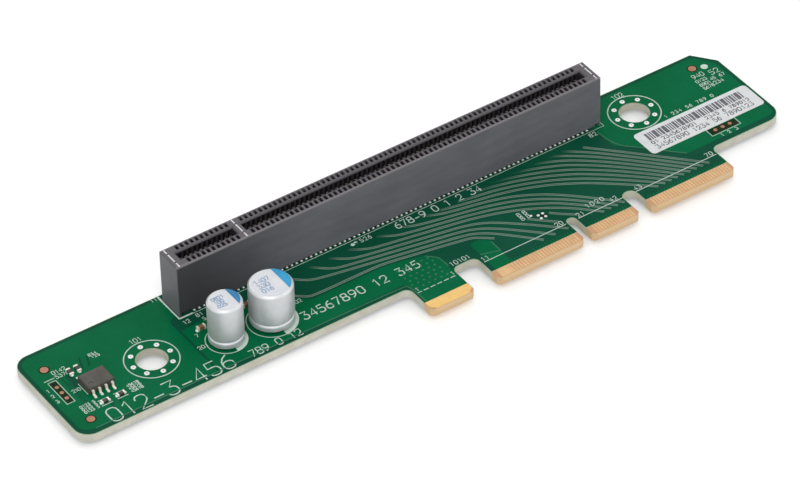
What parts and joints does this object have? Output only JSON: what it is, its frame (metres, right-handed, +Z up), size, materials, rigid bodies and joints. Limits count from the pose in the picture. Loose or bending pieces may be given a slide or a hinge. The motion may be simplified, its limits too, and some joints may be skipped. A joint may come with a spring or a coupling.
{
  "type": "pcie riser card",
  "caption": "Long narrow green riser card with a sixteen-lane expansion slot, keyed gold edge tabs, two capacitor cans, a small chip and two mounting holes.",
  "frame": {"origin": "axis of the left mounting hole, at the underside of the board", "axes": "+X along the card towards its diagonal corner, +Y towards the back edge behind the slot, +Z up out of the board's component side"},
  "size_m": [0.1469, 0.031, 0.0135],
  "materials": {
    "solder_mask": "semi-gloss",
    "slot_plastic": "fine moulded",
    "gold": "plated",
    "spring_contact": "plated",
    "plate_steel": "tinned",
    "solder": "bright",
    "can_aluminium": "satin",
    "bung_rubber": "matt",
    "chip_black": "moulded",
    "tinned_lead": "bright",
    "resistor_black": "glazed",
    "ceramic_tan": "fired",
    "bare_copper": "bare",
    "label_white": "paper"
  },
  "bodies": {
    "root": {"capacitor_large_bung": "bung_rubber", "capacitor_large_can": "can_aluminium", "capacitor_large_leads": "tinned_lead", "capacitor_large_solder": "solder", "capacitor_small_bung": "bung_rubber", "capacitor_small_can": "can_aluminium", "capacitor_small_leads": "tinned_lead", "capacitor_small_solder": "solder", "ceramic_capacitor_left_body": "ceramic_tan", "ceramic_capacitor_left_ends": "tinned_lead", "ceramic_capacitor_right_body": "ceramic_tan", "ceramic_capacitor_right_ends": "tinned_lead", "chip_body": "chip_black", "chip_leads": "tinned_lead", "circuit_board": "solder_mask", "contacts_back_long": "spring_contact", "contacts_back_short": "spring_contact", "contacts_front_long": "spring_contact", "contacts_front_short": "spring_contact", "fiducials": "bare_copper", "first_tab_fingers_bottom": "gold", "first_tab_fingers_top": "gold", "hold_down_key": "plate_steel", "hold_down_left": "plate_steel", "hold_down_right": "plate_steel", "hold_down_solder": "solder", "label": "label_white", "mount_vias_left": "solder", "mount_vias_right": "solder", "pad_row_left": "bare_copper", "pad_row_right": "bare_copper", "power_finger_bottom": "gold", "power_finger_top": "gold", "resistor_front_left_body": "resistor_black", "resistor_front_left_ends": "tinned_lead", "resistor_front_right_body": "resistor_black", "resistor_front_right_ends": "tinned_lead", "resistor_rear_left_body": "resistor_black", "resistor_rear_left_ends": "tinned_lead", "resistor_rear_right_body": "resistor_black", "resistor_rear_right_ends": "tinned_lead", "second_tab_fingers_bottom": "gold", "second_tab_fingers_top": "gold", "slot_housing": "slot_plastic", "test_pads": "bare_copper", "third_tab_fingers_bottom": "gold", "third_tab_fingers_top": "gold"}
  },
  "joints": []
}
